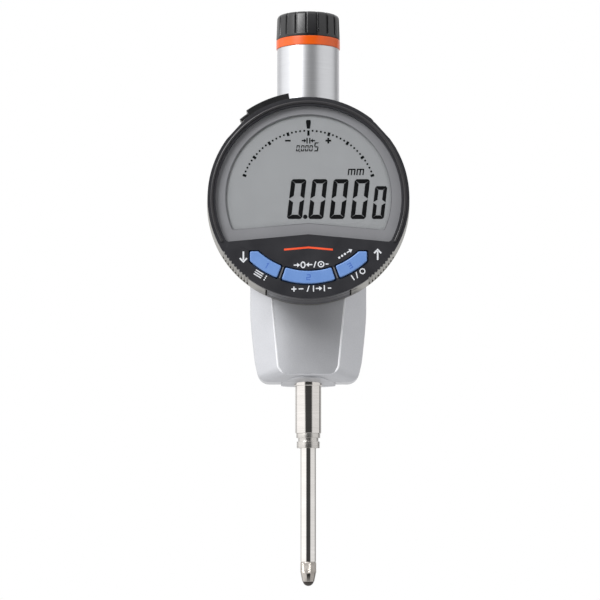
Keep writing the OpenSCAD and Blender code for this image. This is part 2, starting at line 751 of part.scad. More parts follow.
module connector_cap() color("black") dial_frame() {
    intersection() {
        ring(port_cap_r, port_seat_r + 0.05, port_low - 2, port_high + 2);
        wedge(45, port_angle - port_span, port_angle + port_span, 0, 40);
    }
    port_box(port_half - 0.15, 27.6, port_seat_r + 0.8, port_low + 0.15, port_high - 0.15);
    // lip that a fingernail lifts
    intersection() {
        ring(port_cap_r - 0.8, port_cap_r - 1.7, port_low - 1, port_high + 1);
        wedge(45, port_angle + port_span - 1, port_angle + port_span + 5.4, 0, 40);
    }
}

main_housing();
back_plate();
back_seal();
back_screws();
stem();
lower_bushing();
dust_seal();
upper_bushing();
guard_tube();
bump_stop();
return_spring();
guide_rail();
guide_screws();
encoder_board();
encoder_chips();
encoder_screws();
flex_lead();
swivel_seal();
wave_washer();
swivel_retainer();
retainer_screws();
accent_ring();
cap();
spindle();
contact_shank();
contact_ball();
carrier_block();
carrier_screws();
scale_strip();
guide_pin();
end_screw();
display_case();
front_panel();
panel_seal();
lens();
lcd_mask();
lcd_panel();
lcd_holder();
zebra_strips();
display_board();
board_chips();
board_screws();
key_mat();
battery_contacts();
data_connector();
stop_pin();
button(-1);  // button_left
button(0);  // button_centre
button(1);  // button_right
battery_cover();
battery_tray();
battery_cell();
connector_cap();
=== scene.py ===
"""Electronic dial indicator: studio, materials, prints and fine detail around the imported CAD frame.

Everything is in metres in the CAD frame: +Z up the spindle, the display faces -Y.
Drawings of the dial are in millimetres from its centre, x to the right and y up.
"""
import json
import math

import bmesh
import bpy
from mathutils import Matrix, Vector


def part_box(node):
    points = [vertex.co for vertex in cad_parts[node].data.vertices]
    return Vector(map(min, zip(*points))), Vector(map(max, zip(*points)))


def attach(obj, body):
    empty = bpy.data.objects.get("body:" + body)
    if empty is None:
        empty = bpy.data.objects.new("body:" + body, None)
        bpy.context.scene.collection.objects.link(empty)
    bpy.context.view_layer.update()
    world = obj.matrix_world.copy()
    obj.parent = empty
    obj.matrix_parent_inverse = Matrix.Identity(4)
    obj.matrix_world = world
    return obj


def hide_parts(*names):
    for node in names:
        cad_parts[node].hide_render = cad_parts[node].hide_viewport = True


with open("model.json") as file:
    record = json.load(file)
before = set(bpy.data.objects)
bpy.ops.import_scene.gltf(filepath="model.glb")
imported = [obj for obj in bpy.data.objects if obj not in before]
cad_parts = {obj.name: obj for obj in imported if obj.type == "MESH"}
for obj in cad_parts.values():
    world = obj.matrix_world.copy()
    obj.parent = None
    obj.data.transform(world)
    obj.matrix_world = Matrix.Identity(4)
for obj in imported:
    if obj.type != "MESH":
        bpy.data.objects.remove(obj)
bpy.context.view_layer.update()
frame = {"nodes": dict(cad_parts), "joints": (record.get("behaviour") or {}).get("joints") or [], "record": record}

MM = 0.001
NODES = frame["nodes"]
JOINTS = {joint["name"]: joint for joint in frame["joints"]}


def low(node):
    """Lowest corner of a CAD node, in millimetres."""
    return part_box(node)[0] / MM


def high(node):
    """Highest corner of a CAD node, in millimetres."""
    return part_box(node)[1] / MM


LENS_RECESS = 0.2   # the lens lies this far behind the face around it
DIAL_Z = JOINTS["display_turn"]["pos_m"][2] / MM
FACE = -low("lens").y + LENS_RECESS
LENS_REAR = -high("lens").y
LCD_FACE = -low("lcd_panel").y
BUTTON_FACE = -low("button_centre").y
BUTTON_REAR = -high("button_centre").y
TIP_Z = low("contact_ball").z
BALL_R = (high("contact_ball").z - TIP_Z) / 2
SUNK = 0.02         # a print starts this far inside the face that carries it
INK = 0.03          # thickness of what is printed on the display and the lens


# ---- Materials ----

def tone(red, green, blue):
    """A colour given in 0 to 255 as a linear colour with alpha."""
    return [((c / 255 + 0.055) / 1.055) ** 2.4 if c > 10 else c / 255 / 12.92
            for c in (red, green, blue)] + [1.0]


def node_tree(name):
    """A new material with its tree and its Principled shader."""
    material = bpy.data.materials.new(name)
    material.use_nodes = True
    tree = material.node_tree
    return material, tree, tree.nodes["Principled BSDF"]


def noise(tree, size, stretch=(1, 1, 1), detail=3.0):
    """Noise whose grains are `size` millimetres across, longer where stretch is under 1."""
    place = tree.nodes.new("ShaderNodeTexCoord")
    mapping = tree.nodes.new("ShaderNodeMapping")
    texture = tree.nodes.new("ShaderNodeTexNoise")
    mapping.inputs["Scale"].default_value = [k / (size * MM) for k in stretch]
    texture.inputs["Scale"].default_value = 1.0
    texture.inputs["Detail"].default_value = detail
    tree.links.new(place.outputs["Object"], mapping.inputs["Vector"])
    tree.links.new(mapping.outputs["Vector"], texture.inputs["Vector"])
    return texture.outputs["Fac"]


def maths(tree, operation, *values):
    """The result of a Math node fed by numbers and by other nodes' outputs."""
    node = tree.nodes.new("ShaderNodeMath")
    node.operation = operation
    for socket, value in zip(node.inputs, values):
        if isinstance(value, (int, float)):
            socket.default_value = value
        else:
            tree.links.new(value, socket)
    return node.outputs[0]


def remapped(tree, value, before, after=(0, 1)):
    """A number that goes across the range `after` as value goes across the range `before`."""
    remap = tree.nodes.new("ShaderNodeMapRange")
    remap.inputs["From Min"].default_value, remap.inputs["From Max"].default_value = before
    remap.inputs["To Min"].default_value, remap.inputs["To Max"].default_value = after
    tree.links.new(value, remap.inputs["Value"])
    return remap.outputs["Result"]


def spread(tree, amount, start, end):
    """A number that follows noise, from start to end."""
    return remapped(tree, amount, (0.3, 0.7), (start, end))


def shades(tree, amount, dark, light):
    """A colour that follows noise, from dark to light."""
    ramp = tree.nodes.new("ShaderNodeValToRGB")
    ramp.color_ramp.elements[0].position = 0.32
    ramp.color_ramp.elements[1].position = 0.68
    ramp.color_ramp.elements[0].color = dark
    ramp.color_ramp.elements[1].color = light
    tree.links.new(amount, ramp.inputs["Fac"])
    return ramp.outputs["Color"]


def relief(tree, shader, height, depth):
    """Raises the surface by up to `depth` millimetres where height is 1."""
    bump = tree.nodes.new("ShaderNodeBump")
    bump.inputs["Distance"].default_value = depth * MM
    tree.links.new(height, bump.inputs["Height"])
    tree.links.new(bump.outputs["Normal"], shader.inputs["Normal"])


def finish(name, dark, light, metallic, rough, grain=0.3, depth=0.002, stretch=(1, 1, 1),
           patch=5.0, **sockets):
    """A material with fine grain, broad patches of roughness and two shades of colour."""
    material, tree, shader = node_tree(name)
    fine = noise(tree, grain, stretch)
    broad = noise(tree, patch, stretch, detail=2.0)
    fine_share = 0.6
    mixed = maths(tree, "MULTIPLY_ADD", fine, fine_share, maths(tree, "MULTIPLY", broad, 1 - fine_share))
    tree.links.new(shades(tree, mixed, tone(*dark), tone(*light)), shader.inputs["Base Color"])
    tree.links.new(spread(tree, broad, *rough), shader.inputs["Roughness"])
    relief(tree, shader, fine, depth)
    shader.inputs["Metallic"].default_value = metallic
    for socket, value in sockets.items():
        shader.inputs[socket.replace("_", " ")].default_value = value
    return material


ACROSS = (0.02, 0.02, 1)   # turned: fine lines round an upright shaft
ALONG = (1, 1, 0.02)       # drawn: fine lines along Z
ROUND = (0.03, 1, 0.03)    # turned about Y: fine lines round the head


def crown(material, radius):
    """Shades a material's front faces as if they curved about Z, as a cast panel does."""
    facing_front = -0.95
    tree = material.node_tree
    grain = next(node for node in tree.nodes if node.type == "BUMP")
    place = tree.nodes.new("ShaderNodeTexCoord")
    spot = tree.nodes.new("ShaderNodeSeparateXYZ")
    facing = tree.nodes.new("ShaderNodeSeparateXYZ")
    bump = tree.nodes.new("ShaderNodeBump")
    bump.inputs["Distance"].default_value = 1.0
    tree.links.new(place.outputs["Object"], spot.inputs["Vector"])
    tree.links.new(place.outputs["Normal"], facing.inputs["Vector"])
    square = maths(tree, "MULTIPLY", spot.outputs["X"], spot.outputs["X"])
    fall = maths(tree, "MULTIPLY", square, -0.5 / (radius * MM))
    front = maths(tree, "LESS_THAN", facing.outputs["Y"], facing_front)
    tree.links.new(maths(tree, "MULTIPLY", fall, front), bump.inputs["Height"])
    tree.links.new(bump.outputs["Normal"], grain.inputs["Normal"])
    return material


def clear_lens():
    """Clear cover: see-through, with a polished gloss on top."""
    gloss_share = 0.035
    material, tree, shader = node_tree("lens_clear")
    tree.nodes.remove(shader)
    output = tree.nodes["Material Output"]
    window = tree.nodes.new("ShaderNodeBsdfTransparent")
    window.inputs["Color"].default_value = (0.93, 0.94, 0.95, 1)
    gloss = tree.nodes.new("ShaderNodeBsdfGlossy")
    wiping = noise(tree, 9.0)
    tree.links.new(spread(tree, wiping, 0.02, 0.06), gloss.inputs["Roughness"])
    both = tree.nodes.new("ShaderNodeMixShader")
    both.inputs["Fac"].default_value = gloss_share
    tree.links.new(window.outputs["BSDF"], both.inputs[1])
    tree.links.new(gloss.outputs["BSDF"], both.inputs[2])
    tree.links.new(both.outputs["Shader"], output.inputs["Surface"])
    return material


MATERIALS = {
    "cast_silver": crown(finish("cast_silver", (182, 183, 187), (196, 197, 201), 0.55, (0.38, 0.43),
                                0.25, 0.003, patch=12.0), 50),
    "plate_metal": finish("plate_metal", (132, 133, 136), (144, 145, 148), 0.8, (0.34, 0.4), 0.2, 0.0015,
                          patch=14.0),
    "tube_metal": finish("tube_metal", (198, 199, 202), (212, 213, 216), 1.0, (0.35, 0.39), 0.12, 0.0002,
                         ACROSS),
    "stem_steel": finish("stem_steel", (205, 201, 197), (226, 222, 219), 1.0, (0.08, 0.12), 0.12, 0.00003,
                         ACROSS),
    "spindle_steel": finish("spindle_steel", (216, 213, 209), (232, 229, 226), 1.0, (0.05, 0.08), 0.1,
                            0.00002, ACROSS),
    "nose_steel": finish("nose_steel", (186, 182, 178), (210, 207, 203), 1.0, (0.24, 0.3), 0.12, 0.0001,
                         ACROSS),
    "contact_steel": finish("contact_steel", (150, 144, 138), (196, 191, 186), 1.0, (0.1, 0.18), 0.1,
                            0.001),
    "carbide": finish("carbide", (62, 58, 56), (84, 80, 77), 1.0, (0.08, 0.14), 0.1, 0.0003),
    "screw_steel": finish("screw_steel", (96, 96, 98), (140, 140, 142), 1.0, (0.25, 0.4), 0.2, 0.0015),
    "spring_steel": finish("spring_steel", (140, 138, 134), (180, 178, 172), 1.0, (0.2, 0.3), 0.1, 0.001),
    "bronze": finish("bronze", (140, 96, 48), (190, 142, 84), 1.0, (0.25, 0.4), 0.3, 0.002),
    "accent_orange": finish("accent_orange", (206, 78, 0), (214, 88, 4), 0.0, (0.28, 0.34), 0.25, 0.0008),
    "cap_black": finish("cap_black", (18, 18, 20), (26, 26, 28), 0.0, (0.27, 0.33), 0.18, 0.0003,
                        Specular_IOR_Level=0.55),
    "head_silver": finish("head_silver", (116, 113, 107), (148, 145, 137), 0.85, (0.32, 0.4), 0.16, 0.0015,
                          ROUND),
    "face_dark": finish("face_dark", (30, 30, 34), (36, 36, 40), 0.0, (0.4, 0.5), 0.16, 0.0015,
                        Specular_IOR_Level=0.35),
    "lens_clear": clear_lens(),
    "frame_grey": finish("frame_grey", (130, 129, 131), (136, 135, 137), 0.0, (0.4, 0.5), 0.2, 0.0008),
    "lcd_grey": finish("lcd_grey", (163, 162, 161), (169, 168, 167), 0.0, (0.5, 0.6), 0.14, 0.0004,
                       Specular_IOR_Level=0.2),
    "holder_white": finish("holder_white", (214, 214, 210), (232, 232, 228), 0.0, (0.4, 0.5)),
    "zebra_rubber": finish("zebra_rubber", (150, 60, 70), (190, 90, 100), 0.0, (0.5, 0.7), 0.2, 0.004,
                           (1, 0.1, 1)),
    "board_green": finish("board_green", (16, 66, 34), (26, 92, 50), 0.0, (0.25, 0.4), 0.5, 0.004,
                          Coat_Weight=0.4),
    "chip_black": finish("chip_black", (20, 20, 21), (34, 34, 36), 0.0, (0.5, 0.65), 0.1, 0.003),
    "mat_rubber": finish("mat_rubber", (58, 66, 70), (76, 86, 90), 0.0, (0.55, 0.7), 0.3, 0.004),
    "contact_gold": finish("contact_gold", (196, 150, 62), (226, 184, 96), 1.0, (0.18, 0.3), 0.2, 0.001),
    "connector_black": finish("connector_black", (26, 25, 26), (42, 40, 41), 0.0, (0.42, 0.55), 0.2,
                              0.003),
    "button_blue": finish("button_blue", (94, 128, 184), (104, 138, 192), 0.0, (0.3, 0.4), 0.2, 0.0015,
                          Coat_Weight=0.1, Coat_Roughness=0.3),
    "cover_grey": finish("cover_grey", (58, 57, 60), (80, 79, 82), 0.3, (0.34, 0.46), 0.2, 0.003),
    "tray_black": finish("tray_black", (30, 30, 31), (44, 44, 46), 0.0, (0.45, 0.55), 0.25, 0.003),
    "cell_steel": finish("cell_steel", (170, 170, 170), (206, 206, 206), 1.0, (0.16, 0.3), 0.2, 0.001),
    "seal_rubber": finish("seal_rubber", (18, 18, 18), (30, 30, 30), 0.0, (0.5, 0.7), 0.2, 0.003),
    "block_metal": finish("block_metal", (150, 150, 150), (190, 190, 190), 1.0, (0.25, 0.4), 0.2, 0.002,
                          ALONG),
    "scale_glass": finish("scale_glass", (160, 168, 160), (200, 206, 198), 0.0, (0.08, 0.2), 0.6, 0.001,
                          (0.05, 0.05, 1), Transmission_Weight=0.4),
    "flex_amber": finish("flex_amber", (170, 90, 20), (206, 120, 40), 0.0, (0.25, 0.4), 0.4, 0.002),
    "lcd_ink": finish("lcd_ink", (4, 4, 5), (9, 9, 10), 0.0, (0.45, 0.6), 0.2, 0.0005,
                      Specular_IOR_Level=0.12),
    "print_white": finish("print_white", (192, 194, 198), (214, 216, 220), 0.0, (0.5, 0.65), 0.1, 0.001),
    "print_orange": finish("print_orange", (210, 62, 20), (230, 80, 34), 0.0, (0.45, 0.6), 0.1, 0.001),
    # Painted light, darker or lighter than what it lies on: the painted shadow inside the lens border and the
    # painted highlight along the ribs between the buttons.
    "painted_shadow_and_glint_grey": finish("painted_shadow_and_glint_grey", (84, 84, 87), (96, 96, 99), 0.0, (0.45, 0.6), 0.1, 0.0005),
    # Painted highlight: near white and barely metallic, far lighter than the cast silver it sits on, standing in
    # for light along the panel's rounded edges.
    "edge_painted_highlight": finish("edge_painted_highlight", (228, 229, 232), (236, 237, 240), 0.1, (0.35, 0.4), 0.2, 0.0005),
    # Lighter than face_dark, the lip's own plastic: partly a painted highlight along the lip's rounded top; its
    # gloss is real, from the lower roughness.
    "lip_grey_painted_sheen": finish("lip_grey_painted_sheen", (44, 43, 45), (54, 53, 55), 0.3, (0.26, 0.34), 0.15, 0.0008),
    "print_blue": finish("print_blue", (54, 88, 160), (66, 102, 176), 0.0, (0.4, 0.5), 0.1, 0.001),
}


# ---- CAD nodes: finish, softened edges ----

def dress_cad_nodes():
    """Gives every CAD node the material of its slot."""
    for part in frame["record"]["subparts"]:
        data = NODES[part["node"]].data
        data.materials.clear()
        data.materials.append(MATERIALS[part["material_slot"]])


def smooth_cad_node(node, edge):
    """Joins a CAD node's tessellation, rounds its edges and shades its curved faces smoothly."""
    corner = math.radians(28)
    modifiers = NODES[node].modifiers
    weld = modifiers.new("weld", "WELD")
    weld.merge_threshold = 0.001 * MM
    if edge:
        bevel = modifiers.new("edges", "BEVEL")
        bevel.width = edge * MM
        bevel.segments = 3
        bevel.limit_method = "ANGLE"
        bevel.angle_limit = corner
        bevel.miter_outer = "MITER_ARC"
    modifiers.new("creases", "EDGE_SPLIT").split_angle = corner
    modifiers.new("normals", "WEIGHTED_NORMAL").weight = 80


# Rounding of the edges that can be seen, in millimetres
EDGES = {
    "main_housing": 0.3, "back_plate": 0.25, "back_screws": 0.12, "stem": 0.15, "lower_bushing": 0.05,
    "guard_tube": 0.12, "accent_ring": 0.1, "display_case": 0.12, "front_panel": 0.12,
    "battery_cover": 0.2, "battery_tray": 0.2, "battery_cell": 0.15, "connector_cap": 0.15,
    "spindle": 0.12, "lens": 0.12, "lcd_mask": 0.06, "carrier_block": 0.2,
}


def soften_cad_nodes():
    """Smooths every CAD node, and rounds the edges of those in EDGES."""
    for node in NODES:
        smooth_cad_node(node, EDGES.get(node, 0))


# ---- Building meshes ----

def piece(name, mesh, slot, body, material=None, corner=30):
    """An object of the given mesh that rides on a body and has a slot's finish."""
    mesh.materials.append(MATERIALS[material or slot])
    mesh.shade_smooth()
    mesh.set_sharp_from_angle(angle=math.radians(corner))
    made = bpy.data.objects.new(name, mesh)
    bpy.context.scene.collection.objects.link(made)
    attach(made, body)
    return made


def mesh_from(build, name):
    """The mesh that a bmesh was built up to."""
    mesh = bpy.data.meshes.new(name)
    build.to_mesh(mesh)
    build.free()
    return mesh


def revolve(name, rows, around, slot, body, radius):
    """A solid turned about Z from rows of (radius, height, depth of pattern), from axis to axis.

    radius(turn, r, z, depth) gives the patterned surface's distance from the axis.
    """
    build = bmesh.new()
    rings = []
    for r, z, depth in rows:
        if r == 0:
            rings.append([build.verts.new(Vector((0, 0, z)) * MM)])
            continue
        ring = []
        for i in range(around):
            turn = 2 * math.pi * i / around
            far = radius(turn, r, z, depth)
            ring.append(build.verts.new(Vector((far * math.cos(turn), far * math.sin(turn), z)) * MM))
        rings.append(ring)
    for below, above in zip(rings, rings[1:]):
        for i in range(around):
            k = (i + 1) % around
            if len(below) == 1:
                build.faces.new((below[0], above[k], above[i]))
            elif len(above) == 1:
                build.faces.new((below[i], below[k], above[0]))
            else:
                build.faces.new((below[i], below[k], above[k], above[i]))
    bmesh.ops.recalc_face_normals(build, faces=build.faces)
    return piece(name, mesh_from(build, name), slot, body)


def dial_point(x, y, depth):
    """A point of the dial's drawing at a depth in front of the spindle's axis."""
    return Vector((x, -depth, DIAL_Z + y)) * MM


def print_shapes(name, shapes, rear, front, slot, body="display", material=None):
    """Flat shapes with a small thickness; shapes that share corners become one."""
    build = bmesh.new()
    for shape in shapes:
        build.faces.new([build.verts.new(dial_point(x, y, rear)) for x, y in shape])
    bmesh.ops.remove_doubles(build, verts=build.verts, dist=0.002 * MM)
    bmesh.ops.recalc_face_normals(build, faces=build.faces)
    grown = bmesh.ops.extrude_face_region(build, geom=build.faces[:])["geom"]
    moved = [v for v in grown if isinstance(v, bmesh.types.BMVert)]
    bmesh.ops.translate(build, verts=moved, vec=(0, -(front - rear) * MM, 0))
    bmesh.ops.recalc_face_normals(build, faces=build.faces)
    return piece(name, mesh_from(build, name), slot, body, material)


# ---- Flat shapes, in the dial's millimetres ----

def turned(shape, angle):
    """A shape turned anticlockwise about the dial's centre, in degrees."""
    c, s = math.cos(math.radians(angle)), math.sin(math.radians(angle))
    return [(x * c - y * s, x * s + y * c) for x, y in shape]


def shifted(shape, dx, dy):
    """A shape moved to the right by dx and up by dy."""
    return [(x + dx, y + dy) for x, y in shape]


def rounds(x, y, r, sides=20):
    """A round dot."""
    return [(x + r * math.cos(2 * math.pi * i / sides), y + r * math.sin(2 * math.pi * i / sides))
            for i in range(sides)]


def bar(x0, y0, x1, y1):
    """An upright rectangle between two corners."""
    return [(x0, y0), (x1, y0), (x1, y1), (x0, y1)]


def ring_sign(x, half_wide, half_tall, thick):
    """A round or oval ring about x, made of quads outside its hole."""
    steps, quads = 24, []

    def at(i, grow):
        angle = 2 * math.pi * i / steps
        return (x + (half_wide + grow) * math.cos(angle), (half_tall + grow) * math.sin(angle))
    for i in range(steps):
        quads.append([at(i, 0), at(i, thick), at(i + 1, thick), at(i + 1, 0)])
    return quads


def plus_sign(x, y, arm, half):
    """A plus at x, y; each arm is `arm` long and twice `half` thick."""
    outline = [(-half, -arm), (half, -arm), (half, -half), (arm, -half), (arm, half), (half, half),
               (half, arm), (-half, arm), (-half, half), (-arm, half), (-arm, -half), (-half, -half)]
    return shifted(outline, x, y)


def stroke(points, width):
    """The outline of a line of some width through points, with mitred corners."""
    sides = ([], [])
    for i, (x, y) in enumerate(points):
        before = points[max(i - 1, 0)]
        after = points[min(i + 1, len(points) - 1)]
        first = Vector((x - before[0], y - before[1]))
        second = Vector((after[0] - x, after[1] - y))
        first = first.normalized() if first.length else second.normalized()
        second = second.normalized() if second.length else first
        along = (first + second).normalized()
        half = width / 2 / max(along.dot(first), 0.3)
        sides[0].append((x - along.y * half, y + along.x * half))
        sides[1].append((x + along.y * half, y - along.x * half))
    return sides[0] + sides[1][::-1]


# ---- Seven-segment digits ----

SEGMENTS = {"0": "abcdef", "5": "afgcd"}


def digit(figure, x, y, wide, tall, thick, slant=6.5):
    """The lit segments of one figure; x, y is its lower left corner before it leans."""
    gap, cut, half = 0.09 * thick, 0.42 * thick, tall / 2

    def upright(outer, inner, start, end):
        return [(outer, start + gap), (outer, end - cut - gap),
                (outer + (inner - outer) * 0.12, end - 0.5 * cut - gap),
                (inner, end - thick - gap), (inner, start + 0.75 * thick)]

    def level(y0, y1):
        return [(cut, y0), (wide - cut, y0), (wide - 0.25 * cut, y0 + (y1 - y0) * 0.3),
                (wide - thick - gap, y1), (thick + gap, y1), (0.25 * cut, y0 + (y1 - y0) * 0.3)]

    def flipped(shape):
        return [(px, tall - py) for px, py in shape]

    middle = [(0.3 * thick, half), (thick, half + thick / 2), (wide - thick, half + thick / 2),
              (wide - 0.3 * thick, half), (wide - thick, half - thick / 2), (thick, half - thick / 2)]
    parts = {
        "a": level(tall, tall - thick), "d": level(0, thick), "g": middle,
        "f": upright(0, thick, half, tall), "b": upright(wide, wide - thick, half, tall),
        "e": flipped(upright(0, thick, half, tall)), "c": flipped(upright(wide, wide - thick, half, tall)),
    }
    lean = math.tan(math.radians(slant))
    return [[(x + px + py * lean, y + py) for px, py in parts[s]] for s in SEGMENTS[figure]]


# ---- What the display shows ----

def reading():
    """The big figures, the last one smaller, with the point."""
    base, pitch, first = -6.1, 6.27, -6.4
    shapes = []
    for i in range(4):
        shapes += digit("0", first + i * pitch, base, 4.5, 11.9, 1.28)
    shapes += digit("0", first + 4 * pitch, base, 3.6, 9.8, 1.1)
    shapes.append(rounds(-0.95, base + 0.66, 0.66))
    return shapes


def unit_mark(x, y, tall=1.9, wide=2.2, thick=0.38, lean=0.12):
    """Two round-shouldered letters m, the millimetre sign."""
    shapes = []
    for k in range(2):
        left = x + k * (wide + 0.35)
        legs = [left, left + (wide - thick) / 2, left + wide - thick]
        outline = [(legs[0], 0), (legs[0], tall), (legs[2] + 0.6 * thick, tall),
                   (legs[2] + thick, tall - 0.5 * thick), (legs[2] + thick, 0), (legs[2], 0),
                   (legs[2], tall - thick), (legs[1] + thick, tall - thick), (legs[1] + thick, 0),
                   (legs[1], 0), (legs[1], tall - thick), (legs[0] + thick, tall - thick),
                   (legs[0] + thick, 0)]
        shapes.append([(px + py * lean, y + py) for px, py in outline])
    return shapes


def graduations():
    """The arc of dots, with a longer mark at every fifth and the longest in the middle."""
    radius, step, count = 20.3, 3.5, 20
    shapes = []
    for i in range(-count, count + 1):
        if i == 0:
            mark = bar(-0.34, radius - 1.5, 0.34, radius + 0.1)
        elif i % 5 == 0:
            mark = bar(-0.38, radius - 0.7, 0.38, radius + 0.42)
        else:
            mark = rounds(0, radius, 0.31, 12)
        shapes.append(turned(mark, -i * step))
    return shapes


def pointer():
    """The wedge over the middle of the arc."""
    return [[(-0.7, 23.3), (-0.72, 22.6), (-0.44, 20.9), (0.44, 20.9), (0.72, 22.6), (0.7, 23.3),
             (0.45, 23.55), (-0.45, 23.55)]]


def tolerance_signs():
    """Minus, plus, and two arrows that meet at two bars."""
    y = 17.3
    shapes = [bar(-6.95, y - 0.25, -5.25, y + 0.25), plus_sign(5.9, y, 0.85, 0.27)]
    for side in (-1, 1):
        shapes.append([(side * px, y + py) for px, py in bar(0.22, -0.85, 0.6, 0.85)])
        arrow = [(0.6, 0), (1.3, 0.62), (1.3, 0.2), (2.0, 0.2), (2.0, -0.2), (1.3, -0.2), (1.3, -0.62)]
        shapes.append([(side * px, y + py) for px, py in arrow])
    return shapes


def resolution_figures():
    """The small figures under the arrows, the last one taller."""
    base, shapes = 14.1, []
    for i in range(4):
        shapes += digit("0", -3.7 + i * 1.24 + (0.15 if i else 0), base, 0.98, 1.85, 0.3)
    shapes += digit("5", 1.55, base, 1.3, 2.7, 0.36)
    shapes.append(rounds(-2.56, base - 0.1, 0.18, 10))
    return shapes


def display_ink():
    """All the dark marks, lying on the front of the display's glass."""
    ink = {"lcd_reading": reading(), "lcd_unit": unit_mark(11.6, 7.0), "lcd_arc": graduations(),
           "lcd_pointer": pointer(), "lcd_signs": tolerance_signs(), "lcd_resolution": resolution_figures()}
    for name, shapes in ink.items():
        print_shapes(name, shapes, LCD_FACE, LCD_FACE + INK, "lcd_grey", material="lcd_ink")


def reach(line, degrees):
    """How far an outline is from the dial's centre in one direction."""
    dx, dy = math.cos(math.radians(degrees)), math.sin(math.radians(degrees))
    for (x0, y0), (x1, y1) in zip(line, line[1:] + line[:1]):
        ex, ey = x1 - x0, y1 - y0
        cross = dx * ey - dy * ex
        if abs(cross) < 1e-9:
            continue
        far = (x0 * ey - y0 * ex) / cross
        share = (x0 * dy - y0 * dx) / cross
        if far > 0 and -1e-6 <= share <= 1 + 1e-6:
            return far
    raise ValueError("the outline doesn't go round the dial's centre")


def lip_bead():
    """The rounded top of the ring round the display, of the face's plastic but coloured lighter as a painted
    highlight.
    """
    r, wide, proud = 28.62, 0.44, 0.46
    start, end, steps, across = -27, 207, 240, 10
    build = bmesh.new()
    rings = []
    for i in range(steps + 1):
        turn = math.radians(start + (end - start) * i / steps)
        ring = []
        for j in range(across + 1):
            rise = math.pi * j / across
            far = r + wide * math.cos(rise)
            ring.append(build.verts.new(dial_point(far * math.cos(turn), far * math.sin(turn),
                                                   FACE - SUNK + proud * math.sin(rise))))
        rings.append(ring)
    for here, there in zip(rings, rings[1:]):
        for j in range(across + 1):
            k = (j + 1) % (across + 1)
            build.faces.new((here[j], here[k], there[k], there[j]))
    build.faces.new(rings[0][::-1])
    build.faces.new(rings[-1])
    bmesh.ops.recalc_face_normals(build, faces=build.faces)
    piece("lip_bead", mesh_from(build, "lip_bead"), "face_dark", "display", material="lip_grey_painted_sheen", corner=50)


def lens_border():
    """The grey border printed on the back of the lens, with a painted shadow along its inside, a darker grey where
    the border's step would shade the display.
    """
    steps, shadow_w, raised, gap, under_lip = 720, 0.16, 0.5, 0.02, 0.1
    outer_line = front_outlines("lens")[0]
    inner_line = [(x, y + raised) for x, y in front_outlines("lcd_mask")[1]]
    outer, inner = [], []
    for i in range(steps):
        degrees = 360 * i / steps
        unit = (math.cos(math.radians(degrees)), math.sin(math.radians(degrees)))
        outer.append((unit, reach(outer_line, degrees) + under_lip))
        inner.append((unit, reach(inner_line, degrees)))

    def band(start, end):
        def at(edge, i):
            (x, y), far = edge[i % steps]
            return x * far, y * far
        return [[at(start, i), at(end, i), at(end, i + 1), at(start, i + 1)] for i in range(steps)]

    line = [(unit, far + shadow_w) for unit, far in inner]
    rear, front = LENS_REAR + gap, LENS_REAR + gap + INK
    border = print_shapes("lens_border", band(line, outer), rear, front, "frame_grey")
    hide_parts("lcd_mask")
    # Painted shadow: a darker ring along the window's edge stands in for the shade that the border's step casts on
    # the display.
    print_shapes("lens_border_painted_shadow", band(inner, line), rear, front, "frame_grey", material="painted_shadow_and_glint_grey")


# ---- Printing on the face: plain signs, no words ----

def on_arc(shapes, degrees, radius):
    """Puts shapes at an angle from straight down, upright towards the dial's centre."""
    return [turned(shifted(shape, 0, -radius), degrees) for shape in shapes]


def arrow_sign():
    """An arrow that points down, its tip at y = 0."""
    tall, head, thick = 3.3, 1.05, 0.46
    shaft = bar(-thick / 2, thick * 1.15, thick / 2, tall)
    return [stroke([(-head, head * 1.25), (0, thick * 0.55), (head, head * 1.25)], thick), shaft]


def flipped_up(shapes, tall):
    """Shapes turned over, top to bottom, within a height."""
    return [[(x, tall - y) for x, y in shape] for shape in shapes]


def small_arrow(x, side):
    """A short arrow along the row, pointing towards side."""
    return [[(x - side * 0.95, 0.17), (x - side * 0.95, -0.17), (x + side * 0.05, -0.17),
             (x + side * 0.05, -0.66), (x + side * 0.95, 0), (x + side * 0.05, 0.66),
             (x + side * 0.05, 0.17)]]


def slash(x):
    """A leaning stroke between two signs."""
    return [[(x - 0.48, -0.9), (x - 0.15, -0.9), (x + 0.48, 0.9), (x + 0.15, 0.9)]]


def zero_sign():
    """Arrows on both sides of a nought, then a ring with a dot and a dash: zero and set."""
    nought = ring_sign(-2.3, 0.42, 0.68, 0.33)
    return (small_arrow(-4.1, 1) + nought + small_arrow(-0.5, -1) + slash(1.2)
            + ring_sign(3.0, 0.68, 0.62, 0.32) + [rounds(3.0, 0, 0.26, 12)]
            + [bar(4.35, -0.17, 5.2, 0.17)])


def preset_sign():
    """Plus and minus, then an arrow between two bars, and a dash."""
    w = 0.17
    return ([plus_sign(-5.0, 0, 0.75, w), bar(-3.6, -w, -2.2, w)] + slash(-0.8) + small_arrow(2.4, 1)
            + [bar(3.8, -0.9, 4.14, 0.9), bar(0.6, -0.9, 0.94, 0.9)] + [bar(5.0, -w, 6.0, w)])


def menu_sign():
    """Three short rows, each with a dot after it."""
    return ([bar(-2.0, y - 0.16, 0.6, y + 0.16) for y in (-0.66, 0, 0.66)]
            + [rounds(1.6, y, 0.22, 12) for y in (-0.6, 0, 0.6)])


def power_sign():
    """The bar and ring of a power switch, a slash between them."""
    return [bar(-2.4, -0.85, -2.06, 0.85)] + slash(-0.8) + ring_sign(1.2, 0.56, 0.56, 0.32)


def send_sign():
    """Three dots and an arrow: data going out."""
    return [rounds(x, 0, 0.34, 14) for x in (-2.1, -1.1, -0.1)] + small_arrow(1.5, 1)


